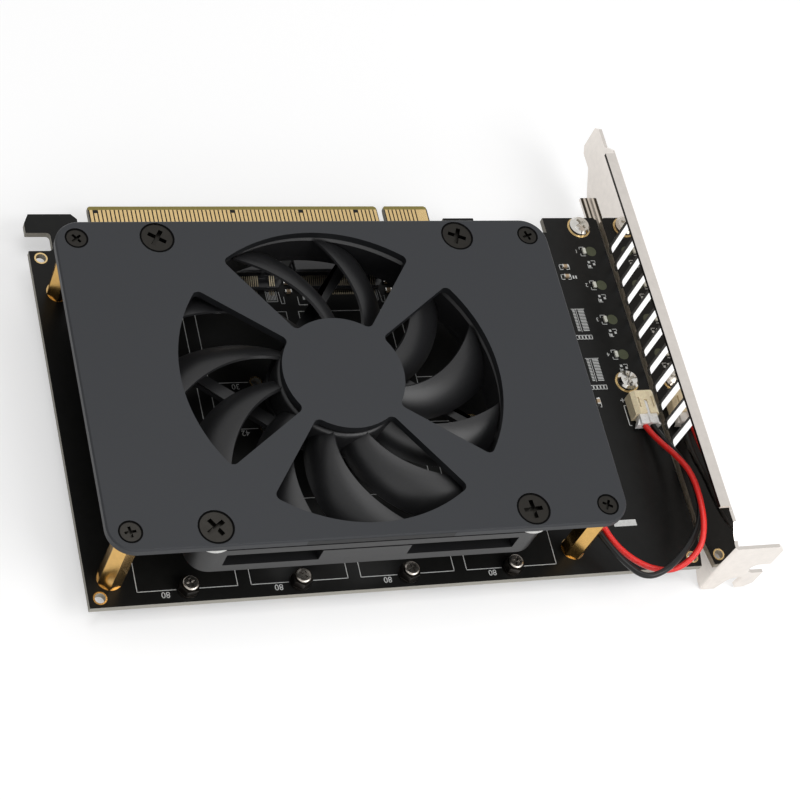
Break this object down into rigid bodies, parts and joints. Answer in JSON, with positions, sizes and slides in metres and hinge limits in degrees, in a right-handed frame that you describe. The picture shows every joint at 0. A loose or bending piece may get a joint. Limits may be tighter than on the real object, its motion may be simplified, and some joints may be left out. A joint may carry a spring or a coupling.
{
  "type": "nvme adapter card",
  "caption": "Slot card that carries M.2 drive modules in a row under a cover plate with a cooling fan, with a gold edge connector and a vented steel slot bracket.",
  "frame": {"origin": "centre line of the edge connector's key notch, on the tip of the contacts, in the middle of the board's thickness", "axes": "+Y out of the card along the direction in which it is plugged in, +X along the connector towards the slot bracket, +Z out of the component side"},
  "size_m": [0.159, 0.1231, 0.0279],
  "materials": {
    "black_oxide_screw": "black-oxide steel screw",
    "bracket_nickel": "bright nickel-plated sheet steel",
    "chip_ceramic": "ceramic chip part",
    "cover_anodised": "fine-blasted dark grey anodised aluminium",
    "fan_black": "black moulded fan plastic",
    "fan_board_green": "green solder mask",
    "gold_plating": "bright gold plating",
    "header_beige": "natural beige nylon",
    "led_white": "clear epoxy over white body",
    "motor_copper": "enamelled copper wire",
    "motor_magnet": "moulded ferrite magnet",
    "motor_steel": "laminated motor steel",
    "nickel_steel": "nickel-plated steel fastener",
    "plug_white": "white nylon",
    "socket_black": "black glass-filled plastic",
    "solder_mask_black": "semi-gloss black solder mask on glass-epoxy board",
    "tinned_contact": "bright tin-plated contact metal",
    "turned_brass": "drawn hexagonal brass",
    "washer_nylon": "white nylon",
    "wire_black": "black PVC insulation",
    "wire_red": "red PVC insulation"
  },
  "bodies": {
    "card": {"black_wire": "wire_black", "bracket_screws": "nickel_steel", "chip_capacitors": "chip_ceramic", "chip_terminals": "tinned_contact", "circuit_board": "solder_mask_black", "cover_pillars": "turned_brass", "cover_plate": "cover_anodised", "cover_screws": "black_oxide_screw", "crimp_contacts": "tinned_contact", "edge_fingers_component_side": "gold_plating", "edge_fingers_solder_side": "gold_plating", "fan_circuit_board": "fan_board_green", "fan_frame": "fan_black", "fan_screws": "black_oxide_screw", "fan_washers": "washer_nylon", "header_housing": "header_beige", "header_pins": "tinned_contact", "hole_rings_component_side": "gold_plating", "hole_rings_solder_side": "gold_plating", "module_posts": "nickel_steel", "module_screws": "nickel_steel", "module_socket_1": "socket_black", "module_socket_2": "socket_black", "module_socket_3": "socket_black", "module_socket_4": "socket_black", "pillar_screws": "nickel_steel", "plug_housing": "plug_white", "red_wire": "wire_red", "sleeve_bearing": "turned_brass", "slot_bracket": "bracket_nickel", "socket_contacts_1": "gold_plating", "socket_contacts_2": "gold_plating", "socket_contacts_3": "gold_plating", "socket_contacts_4": "gold_plating", "stator_core": "motor_steel", "stator_windings": "motor_copper", "status_leds": "led_white"},
    "rotor": {"fan_impeller": "fan_black", "rotor_yoke": "motor_steel", "magnet_ring": "motor_magnet", "fan_shaft": "motor_steel", "shaft_clip": "washer_nylon"}
  },
  "joints": [
    {"name": "fan_spin", "type": "hinge", "parent": "card", "child": "rotor", "pos_m": [-0.0286, -0.0593, 0.015], "axis": [0, 0, 1], "continuous": true}
  ]
}
